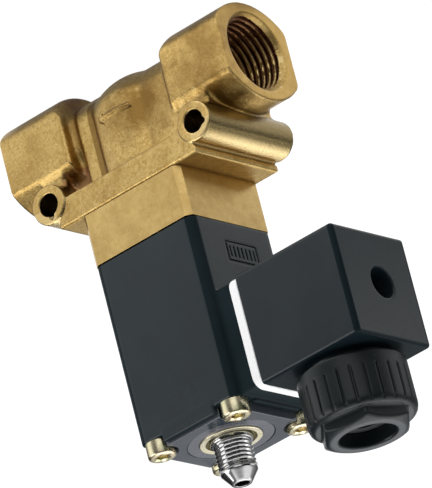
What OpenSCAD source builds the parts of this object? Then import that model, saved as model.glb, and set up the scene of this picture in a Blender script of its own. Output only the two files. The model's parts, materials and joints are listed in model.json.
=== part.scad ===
// Servo-assisted solenoid valve: threaded brass body, flanged bonnet, moulded
// coil with a plug connector and cable gland, and an exhaust nipple on the coil.
// Origin: midway between the two mounting holes, on the coil axis.
// +X is the flow direction, +Z runs up the coil, -X carries the plug.
// Heights below are measured from the port axis; from_port_axis() brings a
// shape drawn that way to the origin.

/* [Ports] */
// Length over the two port faces
port_to_port = 73; // [60:1:90]
// Minor diameter of the port thread (G 1/2)
port_bore_d = 18.631; // [15:0.001:25]
// Depth of each threaded port
port_depth = 14; // [10:0.5:16]
// Width across the flat sides of a port block
block_flats = 26.8; // [24:0.2:32]
// Height over the round crowns of a port block
block_height = 26.5; // [24:0.1:32]
// Radius of the round crowns
block_crown_r = 18; // [14:0.5:30]
// Length of a port block
block_len = 19.5; // [15:0.5:24]
// Mouth diameter of the lead-in chamfer
port_mouth_d = 21.2; // [18:0.1:26]

/* [Body] */
// Diameter of the upright dome that holds the piston
dome_d = 28.4; // [24:0.2:34]
// Radius of the rounded dome bottom
dome_cap_r = 16.3; // [14:0.1:24]
// Lowest point of the dome below the port axis
dome_drop = 10.4; // [8:0.1:14]
// Width of the neck between dome and port block
neck_w = 20; // [16:0.5:24]
// Height of the neck
neck_h = 18.8; // [14:0.2:24]
// Flange length
flange_len = 45.4; // [40:0.2:52]
// Flange width
flange_w = 31.6; // [28:0.2:36]
// Flange face on the port side, above the port axis
flange_z0 = 16.3; // [14:0.1:20]
// Bonnet joint face above the port axis
joint_z = 23.6; // [20:0.1:28]
// Distance between the two mounting holes
mount_pitch = 48.4; // [44:0.2:56]
// Mounting boss diameter
boss_d = 10.3; // [8:0.1:14]
// Mounting hole diameter
mount_hole_d = 5.7; // [4:0.1:8]
// Height of the mounting holes above the port axis
boss_z = 16.15; // [12:0.05:20]
// Length of a mounting boss
boss_len = 32.4; // [28:0.2:36]

/* [Flow path] */
// Main seat bore
seat_d = 12; // [8:0.5:14]
// Height of the main seat
seat_z = 5; // [3:0.1:8]
// Piston cylinder diameter
cylinder_d = 22.4; // [18:0.1:24]
// Piston stroke
piston_stroke = 4; // [2:0.5:4]

/* [Bonnet] */
// Bonnet length along the flow
bonnet_len = 32; // [28:0.2:36]
// Bonnet width
bonnet_w = 31.4; // [28:0.2:36]
// Bonnet height
bonnet_h = 13.5; // [10:0.1:18]

/* [Coil] */
// Coil case length along the flow
coil_len = 32.2; // [28:0.2:40]
// Coil case width
coil_w = 31; // [28:0.2:40]
// Coil case height up to the screw seats
coil_h = 48.1; // [40:0.1:60]
// Corner radius of the coil case
coil_corner_r = 1.3; // [0.5:0.1:3]
// Width of the square end plate
plate_w = 28.4; // [24:0.2:30]
// Top of the end plate above the screw seats
plate_rise = 2.85; // [1:0.05:4]
// Radius of the corner cut-outs in the end plate
plate_notch_r = 4.1; // [3.5:0.1:5]
// Distance of a screw from the middle, along the flow
screw_x = 12.25; // [11:0.05:14]
// Distance of a screw from the middle, across the flow
screw_y = 12.1; // [11:0.05:14]
// Plunger stroke
plunger_stroke = 1.2; // [0.6:0.1:2]

/* [Exhaust nipple] */
// Thread diameter (3/8-24)
nipple_thread_d = 9.525; // [8:0.005:12]
// Collar diameter at the foot
nipple_foot_d = 10.8; // [9:0.1:14]
// Bore at the mouth
nipple_bore_d = 3.6; // [2:0.1:5]
// Diameter of the flat rim at the mouth
nipple_tip_d = 5.1; // [4:0.1:7]

/* [Plug] */
// Width of the plug
plug_w = 28; // [26:0.5:30]
// Height of the plug
plug_h = 29; // [26:0.5:32]
// Length of the plug
plug_len = 31; // [28:0.5:40]
// Underside of the plug above the port axis
plug_z0 = 56.7; // [50:0.1:60]
// Gasket thickness
gasket_t = 2.5; // [1:0.1:4]
// Distance of the plug pad from the coil side
pad_out = 4.4; // [2:0.1:8]
// Cable gland axis from the coil axis
gland_x = 39.2; // [36:0.1:42]
// Gland nut diameter
gland_d = 27.2; // [22:0.1:30]
// Gland nut hexagon across flats
gland_hex = 20.8; // [17:0.1:24]
// Cable opening in the nut
gland_bore_d = 14; // [10:0.5:16]
// Number of grip grooves round the nut
gland_grooves = 26; // [12:1:40]

/* [Hidden] */
$fn = 64;
eps = 0.01;                        // overrun of a cut past a face
fit = 0.05;                        // radial play of plain stand-ins for threads
half_len = port_to_port / 2;
block_in = half_len - block_len;   // inner face of a port block
dome_cap_z = dome_cap_r - dome_drop;
bonnet_top = joint_z + bonnet_h;   // coil foot
seat_top = bonnet_top + coil_h;    // floor of the corner notches
plate_top = seat_top + plate_rise;
screw_d = 4;
screw_head_d = 7;
screw_head_h = 4;
screw_foot = joint_z - 6;          // lower end of the housing screws
rim_gap = 0.08;                    // running gap of the piston and the plunger

// outside of the body
neck_crown_r = 13.2;
web_half = block_flats / 2 - 1.2;  // webs between the bosses and the dome
web_end = mount_pitch / 2 + 3.4;
outlet_wall = 11.1;                // half width beside the dome, outlet side
pocket_x = [13.9, 20.5];           // shallow pocket in the outlet web
pocket_half = 9;
ramp = 3.4;                        // slope from a port block down to the neck
seal_groove_r = 12.9;              // groove of the bonnet seal
seal_wire_r = 0.9;

// piston and its spring
chamber_z0 = 1.5;                  // floor of the ring chamber round the seat
seat_wall = 1.2;
seat_lip = 0.6;                    // raised sealing lip, width and height
outlet_floor = -6.5;
inlet_slot = [14, 9];              // passages inside the neck, width and height
inlet_slot_z = 3.5;
outlet_slot = [11, 7];
piston_r = cylinder_d / 2 - rim_gap;
piston_foot = seat_z + 0.6;        // piston metal stands clear of the seat
piston_skirt = 10;
piston_top = joint_z - piston_stroke - 0.6;
ring_z0 = 13;
ring_h = 2;
ring_in_r = 9.9;
ring_play = 0.05;
bleed_x = 9.15;                    // small hole that lets the upper chamber fill
bleed_r = 0.5;
seal_r = 7.6;
seal_t = 2.2;
pocket_r = 6.2;                    // spring pocket radius, piston and bonnet
pocket_z = 11;
pocket_top = joint_z + 4;
spring_r = 5;
spring_wire = 0.9;

// armature tube and plunger
tube_in_r = 4.6;
tube_out_r = 5.1;
tube_flange_r = 8.9;
tube_flange_h = 2.2;
well_z = bonnet_top - 4.7;         // floor of the plunger well in the bonnet
well_r = 9;
oring_r = 7.3;
oring_wire_r = 1.25;
pilot_z = well_z + 1.2;            // pilot seat
plunger_r = tube_in_r - rim_gap;
plunger_foot = pilot_z + 0.5;
plunger_top = 61.9;
plunger_pocket_z = 52;
plunger_seal_r = 2.6;
plunger_seal_t = 2.5;
pilot_bore_r = 0.8;
core_z = plunger_top + plunger_stroke + 0.1;
core_r = tube_in_r - 0.02;
core_bore_r = 1.2;
shading_r = [3.2, 3.9];            // shading ring, inside and outside
shading_h = 1.2;
tube_top = 84.5;
stub_r = 2.5;                      // nipple stub set into the fixed core
stub_len = 5.3;

// exhaust nipple, above the end plate
nipple_foot_h = 1.15;
nipple_thread_h = 6.4;
nipple_collar_h = 1.3;
nipple_cone_h = 2.8;

// coil stack
cavity_r = 13.35;
floor_t = 1.7;
pole_t = 2;
pole_z = bonnet_top + floor_t;
stack_z = pole_z + pole_t;
sleeve_r = 13.3;
sleeve_t = 0.95;
bobbin_r = 12.2;
bobbin_in_r = 5.25;
bobbin_t = 1.35;
flange_t = 1.6;
winding_r = 11.5;
washer_r = 10.85;
ring_out_r = 7.88;
ring_in_wall_r = 6.36;
washer_floor = plate_top - 1.45;
lip_half = 8.5;                    // half length of the rims between the notches
lip_rise = 2;
lip_t = 1.2;
side_lip_rise = 0.8;
side_lip_t = 1.6;
pad_half = 13.5;
washer_sink = 0.12;                // pole washer below the plate, ring above it
ring_stand = 0.25;
socket_r = 1.5 / cos(30);          // 3 mm hexagon socket
socket_depth = 2;

// plug
pad_face = -(coil_len / 2 + pad_out);
plug_face = pad_face - gasket_t;
plug_back = plug_face - plug_len;
plug_mid_z = plug_z0 + plug_h / 2;
plug_wall = 2;
plug_screw_y = 1;                  // fixing screw stands slightly off centre
plug_screw_z = plug_mid_z - 0.75;
plug_top = plug_z0 + plug_h;
blade_t = 0.8;
blade_w = 6.3;
blade_pitch = 18;
blade_root = -16.6;
blade_tip = -31;
ground_z = plug_mid_z - 9.7;
screw_well_r = 4.05;
screw_well_x = plug_back + 9;      // floor under the fixing screw head
fixing_r = 1.5;                    // fixing screw of the plug
fixing_hole_r = 1.65;
driver_slot = 0.4;                 // half width of a screwdriver slot
cage = [3.5, 1.9, 3.9];            // half sizes of a terminal cage
insert_x = plug_face - 18.5;       // outer face of the terminal block
insert_half = 11.6;
insert_gap = 2.4;

// cable gland
neck_r = 10.4;
neck_in_r = 8.3;
neck_top = plug_top + 11.3;
nut_z0 = plug_top + 1.9;
nut_collar = 3.1;
nut_hex_z = plug_top + 15.6;
nut_top = nut_hex_z + 3.4;
nut_face_r = 9.5;                  // flat end face, inside the hexagon's chamfer
nut_shoulder = 1.5;                // chamfer where the grip meets the hexagon
grommet_head_t = 2;
ring_t = 1.4;
nut_floor = neck_top + grommet_head_t + ring_t;

// ---- shared shapes ----

// moves a shape drawn from the port axis to the part's origin
module from_port_axis() {
    translate([0, 0, -boss_z]) children();
}

module tube(r_out, r_in, z0, z1) {
    translate([0, 0, z0])
        difference() {
            cylinder(r = r_out, h = z1 - z0);
            translate([0, 0, -eps]) cylinder(r = r_in, h = z1 - z0 + 2 * eps);
        }
}

module rod(r, z0, z1) {
    translate([0, 0, z0]) cylinder(r = r, h = z1 - z0);
}

// cylinder along +X from x0 to x1
module rod_x(r, x0, x1) {
    translate([x0, 0, 0]) rotate([0, 90, 0]) cylinder(r = r, h = x1 - x0);
}

// box from its low corner to its high corner
module block(low, high) {
    translate(low) cube(high - low);
}

// the four screw positions round the coil axis
module at_screws() {
    for (sx = [-1, 1], sy = [-1, 1])
        translate([sx * screw_x, sy * screw_y, 0]) children();
}

module rounded_rect(w, d, r) {
    square([w - 2 * r, d], center = true);
    square([w, d - 2 * r], center = true);
    for (sx = [-1, 1], sy = [-1, 1])
        translate([sx * (w / 2 - r), sy * (d / 2 - r)]) circle(r = r);
}

// rectangle whose short sides bulge as arcs of radius r
module crowned(w, h, r) {
    intersection() {
        square([w, h + r], center = true);
        translate([0, r - h / 2]) circle(r = r);
        translate([0, h / 2 - r]) circle(r = r);
    }
}

// lays a profile drawn across the flow along +X from x0 to x1
module along_x(x0, x1) {
    translate([x0, 0, 0]) rotate([90, 0, 90]) linear_extrude(x1 - x0) children();
}

// round-ended slot profile
module slot(w, h) {
    square([w - h, h], center = true);
    for (s = [-1, 1]) translate([s * (w - h) / 2, 0]) circle(d = h);
}

// O-ring lying flat
module o_ring(r, wire_r, z) {
    translate([0, 0, z]) rotate_extrude() translate([r, 0]) circle(r = wire_r);
}

// compression spring with one closed turn at each end
function spring_rise(t, turns, wire, length) =
    let (closed = 1.1 * wire, active = (length - wire - 2 * closed) / (turns - 2))
    t < 1 ? closed * t
    : t > turns - 1 ? length - wire - closed * (turns - t)
    : closed + active * (t - 1);

module coil_spring(r, wire, z0, z1, turns) {
    steps = 20;
    sides = 8;
    count = turns * steps;
    points = [
        for (i = [0:count], j = [0:sides - 1])
            let (a = 360 * i / steps, b = 360 * j / sides,
                 rr = r + wire / 2 * cos(b),
                 rise = spring_rise(i / steps, turns, wire, z1 - z0))
            [rr * cos(a), rr * sin(a), z0 + wire / 2 + rise + wire / 2 * sin(b)]
    ];
    skin = [
        for (i = [0:count - 1], j = [0:sides - 1])
            let (k = (j + 1) % sides)
            [i * sides + j, i * sides + k, (i + 1) * sides + k, (i + 1) * sides + j]
    ];
    start = [[for (j = [0:sides - 1]) sides - 1 - j]];
    finish = [[for (j = [0:sides - 1]) count * sides + j]];
    polyhedron(points, concat(skin, start, finish), convexity = 10);
}

// ---- valve body ----

module port_block() {
    along_x(block_in, half_len) crowned(block_flats, block_height, block_crown_r);
}

module mount_boss() {
    translate([mount_pitch / 2, boss_len / 2, boss_z])
        rotate([90, 0, 0]) cylinder(d = boss_d, h = boss_len);
}

// slope from the inner end of a port block down to the neck
module block_ramp() {
    half = block_flats / 2;
    intersection() {
        translate([0, 0, -neck_h / 2]) linear_extrude(neck_h)
            polygon([[block_in - ramp, half - ramp], [block_in + eps, half + eps],
                     [block_in + eps, -half - eps], [block_in - ramp, ramp - half]]);
        along_x(block_in - ramp, block_in + eps) crowned(block_flats, neck_h, block_crown_r);
    }
}

// upright web between the neck and the flange
module web(x0, x1, half_w) {
    block([x0, -half_w, 0], [x1, half_w, flange_z0 + eps]);
}

// inlet side: solid from dome to boss; outlet side: a wall, then a shallow pocket before the boss
module webs() {
    web(-web_end, 0, web_half);
    web(0, pocket_x[0], outlet_wall);
    web(0, pocket_x[1] + eps, pocket_half);
    web(pocket_x[1], web_end, web_half);
}

module neck() {
    along_x(-block_in - eps, block_in + eps) crowned(neck_w, neck_h, neck_crown_r);
    along_x(-block_in - eps, 0) crowned(2 * web_half, neck_h, neck_crown_r);
    along_x(0, pocket_x[0]) crowned(2 * outlet_wall, neck_h, neck_crown_r);
}

module flange() {
    edge = 0.6;
    x = flange_len / 2;
    y = flange_w / 2;
    block([-x, -y, flange_z0], [x, y, joint_z - edge]);
    block([-x, edge - y, flange_z0], [x, y - edge, joint_z]);
}

// raised flow arrow on the front of the dome, pointing along +X
module flow_arrow() {
    bar = 0.9;
    barb = 1.8;
    tail = -5.2;
    tip = 4.6;
    z = 1.8;
    intersection() {
        rod(dome_d / 2 + bar / 2, z - 3, z + 3);
        union() {
            block([tail, -dome_d, z - bar / 2], [tip, 0, z + bar / 2]);
            for (s = [-1, 1])
                translate([tip, -dome_d, z]) rotate([0, s * 38, 0])
                    translate([-barb, 0, -bar / 2]) cube([barb, dome_d, bar]);
            block([tail, -dome_d, z - bar], [tail + bar, 0, z + bar]);
        }
    }
}

module dome() {
    rod(dome_d / 2, dome_cap_z - sqrt(pow(dome_cap_r, 2) - pow(dome_d / 2, 2)), flange_z0);
    intersection() {
        translate([0, 0, dome_cap_z]) sphere(r = dome_cap_r);
        rod(dome_d / 2, -dome_drop - 1, dome_cap_z);
    }
}

module body_outside() {
    for (m = [0, 1]) mirror([m, 0, 0]) {
        port_block();
        block_ramp();
        mount_boss();
    }
    neck();
    webs();
    dome();
    flange();
    flow_arrow();
}

module port_inside() {
    chamfer = 1;
    rod_x(port_bore_d / 2, half_len - port_depth, half_len + eps);
    translate([half_len - chamfer, 0, 0]) rotate([0, 90, 0])
        cylinder(d1 = port_bore_d, d2 = port_mouth_d, h = chamfer + eps);
    translate([mount_pitch / 2, boss_len / 2 + 1, boss_z])
        rotate([90, 0, 0]) cylinder(d = mount_hole_d, h = boss_len + 2);
}

module body_inside() {
    seat_r = seat_d / 2;
    port_floor = half_len - port_depth + eps;
    for (m = [0, 1]) mirror([m, 0, 0]) port_inside();
    // inlet side: into the ring chamber round the seat
    translate([0, 0, inlet_slot_z])
        along_x(-port_floor, -seat_r - 2.2) slot(inlet_slot[0], inlet_slot[1]);
    rod(cylinder_d / 2, seat_z, joint_z + eps);
    tube(cylinder_d / 2, seat_r + seat_wall, chamber_z0, seat_z + eps);
    tube(seat_r + seat_wall + eps, seat_r + seat_lip, seat_z - seat_lip, seat_z + eps);
    // outlet side: down through the seat and out
    rod(seat_r, outlet_floor, seat_z + eps);
    translate([0, 0, outlet_floor + outlet_slot[1] / 2])
        along_x(0, port_floor) slot(outlet_slot[0], outlet_slot[1]);
    // groove for the bonnet seal, and the four tapped holes
    tube(seal_groove_r + 1, seal_groove_r - 1, joint_z - 2 * seal_wire_r, joint_z + eps);
    at_screws() rod(screw_d / 2 + fit, screw_foot - 0.4, joint_z + eps);
}

module valve_body() {
    color([0.72, 0.58, 0.32]) from_port_axis()
        difference() {
            body_outside();
            body_inside();
        }
}

module bonnet_seal() {
    color([0.12, 0.12, 0.12]) from_port_axis() o_ring(seal_groove_r, seal_wire_r, joint_z - seal_wire_r);
}

// ---- bonnet ----

module bonnet() {
    corner = 1.5;
    x = bonnet_len / 2;
    y = bonnet_w / 2;
    color([0.76, 0.63, 0.37]) from_port_axis()
        difference() {
            translate([0, 0, joint_z]) linear_extrude(bonnet_h)
                polygon([[x - corner, -y], [x, corner - y], [x, y - corner], [x - corner, y],
                         [corner - x, y], [-x, y - corner], [-x, corner - y], [corner - x, -y]]);
            rod(pocket_r, joint_z - eps, pocket_top);
            tube(well_r, 2, well_z, bonnet_top + eps);
            rod(well_r, pilot_z, bonnet_top + eps);
            rod(pilot_bore_r, pocket_top - eps, pilot_z + eps);
            at_screws() rod(screw_d / 2 + 0.2, joint_z - eps, bonnet_top + eps);
        }
}

// ---- piston group ----

module main_piston() {
    color([0.75, 0.62, 0.36]) from_port_axis()
        difference() {
            union() {
                rod(seal_r + 1, piston_foot, piston_skirt + eps);
                rod(piston_r, piston_skirt, piston_top);
            }
            rod(seal_r, piston_foot - eps, seat_z + seal_t);
            rod(pocket_r, pocket_z, piston_top + eps);
            tube(piston_r + 1, ring_in_r, ring_z0, ring_z0 + ring_h);
            // bleed hole from the inlet side to the space above the piston
            translate([bleed_x, 0, 0]) rod(bleed_r, piston_skirt - 1, piston_top + eps);
        }
}

module piston_seat_seal() {
    color([0.10, 0.10, 0.10]) from_port_axis() rod(seal_r, seat_z, seat_z + seal_t);
}

module piston_ring() {
    color([0.85, 0.85, 0.80]) from_port_axis()
        tube(cylinder_d / 2 - ring_play, ring_in_r + 2 * ring_play, ring_z0 + ring_play,
             ring_z0 + ring_h - ring_play);
}

module main_spring() {
    color([0.75, 0.75, 0.76]) from_port_axis()
        coil_spring(spring_r, spring_wire, pocket_z, pocket_top, 7);
}

// ---- armature ----

module guide_tube() {
    color([0.78, 0.78, 0.79]) from_port_axis() {
        tube(tube_out_r, tube_in_r, bonnet_top - tube_flange_h, tube_top);
        tube(tube_flange_r, tube_out_r - eps, bonnet_top - tube_flange_h, bonnet_top);
    }
}

module guide_tube_oring() {
    color([0.12, 0.12, 0.12]) from_port_axis() o_ring(oring_r, oring_wire_r, well_z + oring_wire_r);
}

module plunger() {
    flat = plunger_r - 0.55;       // distance of a flat from the axis
    cut_t = 2;
    slot_half = 0.8;
    color([0.70, 0.70, 0.71]) from_port_axis()
        difference() {
            rod(plunger_r, plunger_foot, plunger_top);
            rod(plunger_seal_r, plunger_foot - eps, pilot_z + plunger_seal_t);
            rod(plunger_seal_r + 0.1, plunger_pocket_z, plunger_top + eps);
            // flats and a top slot let the pilot flow pass
            for (s = [-1, 1])
                translate([-plunger_r, s * (flat + cut_t / 2) - cut_t / 2, plunger_foot - 1])
                    cube([2 * plunger_r, cut_t, plunger_top]);
            block([-plunger_r, -slot_half, plunger_top - 1], [plunger_r, slot_half, plunger_top + eps]);
        }
}

module plunger_seal() {
    color([0.55, 0.16, 0.12]) from_port_axis() rod(plunger_seal_r, pilot_z, pilot_z + plunger_seal_t);
}

module plunger_spring() {
    color([0.75, 0.75, 0.76]) from_port_axis() coil_spring(2, 0.5, plunger_pocket_z, core_z, 9);
}

module fixed_core() {
    color([0.70, 0.70, 0.71]) from_port_axis()
        difference() {
            rod(core_r, core_z, tube_top);
            rod(core_bore_r, core_z - eps, tube_top + eps);
            rod(stub_r, tube_top - stub_len - 0.2, tube_top + eps);
            tube(shading_r[1], shading_r[0], core_z - eps, core_z + shading_h);
        }
}

module shading_ring() {
    color([0.72, 0.42, 0.26]) from_port_axis()
        tube(shading_r[1], shading_r[0], core_z, core_z + shading_h);
}

module exhaust_nipple() {
    foot_top = plate_top + nipple_foot_h;
    thread_top = foot_top + nipple_thread_h;
    cone_z = thread_top + nipple_collar_h;
    tip_z = cone_z + nipple_cone_h;
    thread_r = nipple_thread_d / 2;
    relief_r = thread_r - 0.55;    // run-out groove above the thread
    relief_top = thread_top + 0.4;
    color([0.80, 0.80, 0.81]) from_port_axis()
        difference() {
            union() {
                rod(stub_r - 0.02, tube_top - stub_len, tube_top + eps);
                rod(tube_out_r, tube_top, seat_top + eps);
                rod(nipple_foot_d / 2, seat_top, foot_top);
                rod(thread_r, foot_top - eps, thread_top);
                rod(relief_r, thread_top - eps, relief_top);
                rod(thread_r, relief_top - eps, cone_z);
                translate([0, 0, cone_z - eps])
                    cylinder(r1 = thread_r, r2 = nipple_tip_d / 2, h = nipple_cone_h);
            }
            rod(core_bore_r, tube_top - stub_len - 1, tube_top + 3);
            rod(nipple_bore_d / 2, tube_top + 2, tip_z + 1);
        }
}

// ---- coil ----

module coil_rims() {
    for (s = [-1, 1]) {
        translate([0, s * (coil_w - lip_t) / 2, seat_top + lip_rise / 2])
            cube([2 * lip_half, lip_t, lip_rise + eps], center = true);
        translate([s * (coil_len - side_lip_t) / 2, 0, seat_top + side_lip_rise / 2])
            cube([side_lip_t, 2 * lip_half, side_lip_rise + eps], center = true);
    }
}

module coil_housing() {
    color([0.20, 0.22, 0.24]) from_port_axis()
        difference() {
            union() {
                translate([0, 0, bonnet_top]) linear_extrude(coil_h)
                    rounded_rect(coil_len, coil_w, coil_corner_r);
                coil_rims();
                block([pad_face, -pad_half, plug_z0 + 0.8], [1 - coil_len / 2, pad_half, seat_top - 0.1]);
            }
            rod(cavity_r, pole_z, seat_top + eps);
            rod(bobbin_in_r + 0.15, bonnet_top - eps, pole_z + eps);
            at_screws() rod(screw_d / 2 + 0.2, bonnet_top - eps, seat_top + eps);
            translate([0, plug_screw_y, plug_screw_z]) rod_x(fixing_r + fit, pad_face - eps, pad_face + 4);
            blade_set(0);
            label_frame();
        }
}

// shallow plain label panel with a hatched field, low on the plug side
module label_frame() {
    depth = 0.3;
    line = 0.5;
    pitch = 1.5;
    x = -coil_len / 2;
    low = [x - 1, -4.6, bonnet_top + 5.1];
    high = [x + depth, 7.5, bonnet_top + 11];
    difference() {
        block(low, high);
        block([x - 2, low.y + line, low.z + line], [x + 1, high.y - line, high.z - line]);
    }
    for (k = [1:7]) {
        y = low.y + k * pitch;
        block([x - 1, y, low.z + pitch], [x + depth, y + line, high.z - pitch]);
    }
}

module lower_pole_plate() {
    color([0.55, 0.56, 0.58]) from_port_axis() tube(sleeve_r, bobbin_in_r, pole_z, stack_z);
}

module yoke_sleeve() {
    color([0.55, 0.56, 0.58]) from_port_axis() tube(sleeve_r, sleeve_r - sleeve_t, stack_z, seat_top);
}

module coil_bobbin() {
    color([0.85, 0.84, 0.78]) from_port_axis() {
        tube(bobbin_in_r + bobbin_t, bobbin_in_r, stack_z, seat_top);
        tube(bobbin_r, bobbin_in_r + bobbin_t - eps, stack_z, stack_z + flange_t);
        tube(bobbin_r, bobbin_in_r + bobbin_t - eps, seat_top - flange_t, seat_top);
    }
}

module coil_winding() {
    gap = 0.02;
    color([0.72, 0.38, 0.20]) from_port_axis()
        tube(winding_r, bobbin_in_r + bobbin_t + gap, stack_z + flange_t + gap, seat_top - flange_t - gap);
}

module end_plate() {
    color([0.24, 0.27, 0.31]) from_port_axis()
        difference() {
            translate([0, 0, seat_top]) linear_extrude(plate_rise)
                difference() {
                    square(plate_w, center = true);
                    at_screws() circle(r = plate_notch_r);
                }
            rod(ring_out_r + fit, seat_top - eps, plate_top + eps);
            rod(washer_r + fit, washer_floor, plate_top + eps);
        }
}

module pole_washer() {
    color([0.36, 0.37, 0.42]) from_port_axis()
        tube(washer_r, ring_out_r + fit, washer_floor, plate_top - washer_sink);
}

module retaining_ring() {
    color([0.85, 0.80, 0.62]) from_port_axis()
        tube(ring_out_r, ring_in_wall_r, seat_top, plate_top + ring_stand);
}

module housing_screws() {
    color([0.80, 0.74, 0.50]) from_port_axis()
        at_screws()
            difference() {
                union() {
                    rod(screw_d / 2, screw_foot, seat_top + eps);
                    rod(screw_head_d / 2, seat_top, seat_top + screw_head_h);
                }
                translate([0, 0, seat_top + screw_head_h - socket_depth])
                    cylinder(r = socket_r, h = socket_depth + eps, $fn = 6);
            }
}

// ---- plug ----

// three contact blades; play widens them into slots
module blade_set(play) {
    t = blade_t / 2 + play;
    w = blade_w / 2 + play;
    for (y = [-blade_pitch / 2, blade_pitch / 2])
        block([blade_tip - play, y - t, plug_mid_z - w], [blade_root, y + t, plug_mid_z + w]);
    block([blade_tip - play, -w, ground_z - t], [blade_root, w, ground_z + t]);
}

module terminal_blades() {
    color([0.80, 0.80, 0.78]) from_port_axis() blade_set(0);
}

module connector_gasket() {
    color([0.93, 0.93, 0.92]) from_port_axis()
        difference() {
            translate([0, 0, plug_mid_z]) along_x(plug_face, pad_face)
                rounded_rect(plug_w, plug_h, 3);
            blade_set(0.2);
            translate([0, plug_screw_y, plug_screw_z])
                rod_x(fixing_hole_r, plug_face - eps, pad_face + eps);
        }
}

module connector_housing() {
    y = plug_w / 2;
    wall = plug_wall;
    color([0.20, 0.22, 0.24]) from_port_axis()
        difference() {
            union() {
                difference() {
                    block([plug_back, -y, plug_z0], [plug_face, y, plug_top]);
                    block([plug_back + wall, wall - y, plug_z0 + wall],
                          [plug_face + eps, y - wall, plug_top - wall]);
                }
                translate([0, plug_screw_y, plug_screw_z])
                    rod_x(screw_well_r + 1.6, plug_back, screw_well_x + 1.6);
                translate([-gland_x, 0, 0]) rod(neck_r, plug_top - wall, neck_top);
            }
            translate([0, plug_screw_y, plug_screw_z]) {
                rod_x(screw_well_r, plug_back - eps, screw_well_x);
                rod_x(fixing_hole_r, screw_well_x - eps, screw_well_x + 2);
            }
            translate([-gland_x, 0, 0]) rod(neck_in_r, plug_top - wall - eps, neck_top + eps);
        }
}

// cage that grips one blade tip, long way along z
module clamp_cage(play) {
    size = [for (half = cage) 2 * (half + play)];
    translate([blade_tip + 0.5, 0, 0]) cube(size, center = true);
}

// puts its child at each of the three blades
module at_blades() {
    for (s = [-1, 1]) translate([0, s * blade_pitch / 2, plug_mid_z]) children();
    translate([0, 0, ground_z]) rotate([90, 0, 0]) children();
}

module terminal_block() {
    y = insert_half;
    color([0.72, 0.72, 0.70]) from_port_axis()
        difference() {
            block([insert_x, -y, plug_z0 + insert_gap], [plug_face - 1, y, plug_top - insert_gap]);
            blade_set(0.15);
            at_blades() {
                clamp_cage(fit);
                rod_x(1.7, insert_x - eps, blade_tip - 2);
                rod_x(2.7, insert_x - eps, insert_x + 2.2);
            }
            translate([0, plug_screw_y, plug_screw_z]) rod_x(1.8, insert_x - eps, plug_face);
        }
}

module terminal_clamps() {
    color([0.78, 0.66, 0.40]) from_port_axis()
        difference() {
            at_blades() clamp_cage(0);
            blade_set(0);
            at_blades() rod_x(1.55, blade_tip - 4, blade_tip - 1);
        }
}

module terminal_screws() {
    slot_r = 3;                    // longer than the head, so the slot runs across it
    color([0.80, 0.80, 0.81]) from_port_axis()
        at_blades()
            difference() {
                union() {
                    rod_x(1.5, insert_x + 2, blade_tip - 1);
                    rod_x(2.5, insert_x + 0.2, insert_x + 2.1);
                }
                block([insert_x, -driver_slot, -slot_r], [insert_x + 1, driver_slot, slot_r]);
            }
}

module connector_screw() {
    washer_t = 1.4;
    head_r = 2.9;
    head_h = 2.4;
    head_x = screw_well_x - washer_t;
    color([0.80, 0.80, 0.81]) from_port_axis()
        translate([0, plug_screw_y, plug_screw_z])
            difference() {
                union() {
                    rod_x(fixing_r, head_x - eps, pad_face + 3.5);
                    rod_x(head_r, head_x - head_h, head_x);
                }
                block([head_x - 3, -driver_slot, -4], [head_x - 1.2, driver_slot, 4]);
            }
}

module screw_washer() {
    washer_t = 1.4;
    color([0.15, 0.15, 0.15]) from_port_axis()
        translate([0, plug_screw_y, plug_screw_z])
            difference() {
                rod_x(3.6, screw_well_x - washer_t, screw_well_x);
                rod_x(fixing_r + fit, screw_well_x - 2, screw_well_x + 1);
            }
}

// ---- cable gland ----

module cable_grommet() {
    head_r = 9.6;
    cable_r = 4;
    color([0.10, 0.10, 0.10]) from_port_axis()
        translate([-gland_x, 0, 0])
            difference() {
                union() {
                    rod(neck_in_r - fit, plug_top + 1, neck_top + eps);
                    rod(head_r, neck_top, neck_top + grommet_head_t);
                }
                rod(cable_r, plug_top, neck_top + grommet_head_t + 1);
            }
}

module gland_ring() {
    color([0.16, 0.17, 0.18]) from_port_axis()
        translate([-gland_x, 0, 0]) tube(10.3, 5, nut_floor - ring_t, nut_floor);
}

// grip of the nut: a round bar with bevelled ends
module grip_blank() {
    r = gland_d / 2;
    edge = 0.6;
    rotate_extrude()
        polygon([[0, nut_z0], [r - edge, nut_z0], [r, nut_z0 + edge], [r, nut_hex_z - nut_shoulder],
                 [r - nut_shoulder, nut_hex_z], [0, nut_hex_z]]);
}

// hexagon above the grip, its corners taken off by a cone
module nut_hexagon() {
    hex_turn = 50;
    chamfer_slope = 1.7;
    z0 = nut_hex_z - nut_shoulder;
    h = nut_top - z0;
    intersection() {
        translate([0, 0, z0]) rotate([0, 0, hex_turn])
            cylinder(r = gland_hex / 2 / cos(30), h = h, $fn = 6);
        translate([0, 0, z0])
            cylinder(r1 = nut_face_r + chamfer_slope * h, r2 = nut_face_r, h = h);
    }
}

module gland_nut() {
    groove_r = 0.55;
    color([0.14, 0.16, 0.17]) from_port_axis()
        translate([-gland_x, 0, 0])
            difference() {
                union() {
                    grip_blank();
                    nut_hexagon();
                }
                rod(neck_r + fit, nut_z0 - eps, nut_floor);
                rod(gland_bore_d / 2, nut_floor - eps, nut_top + 1);
                for (k = [1:gland_grooves])
                    rotate([0, 0, 360 * k / gland_grooves]) translate([gland_d / 2 + 0.1, 0, 0])
                        rod(groove_r, nut_z0 + nut_collar, nut_hex_z);
            }
}

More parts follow.
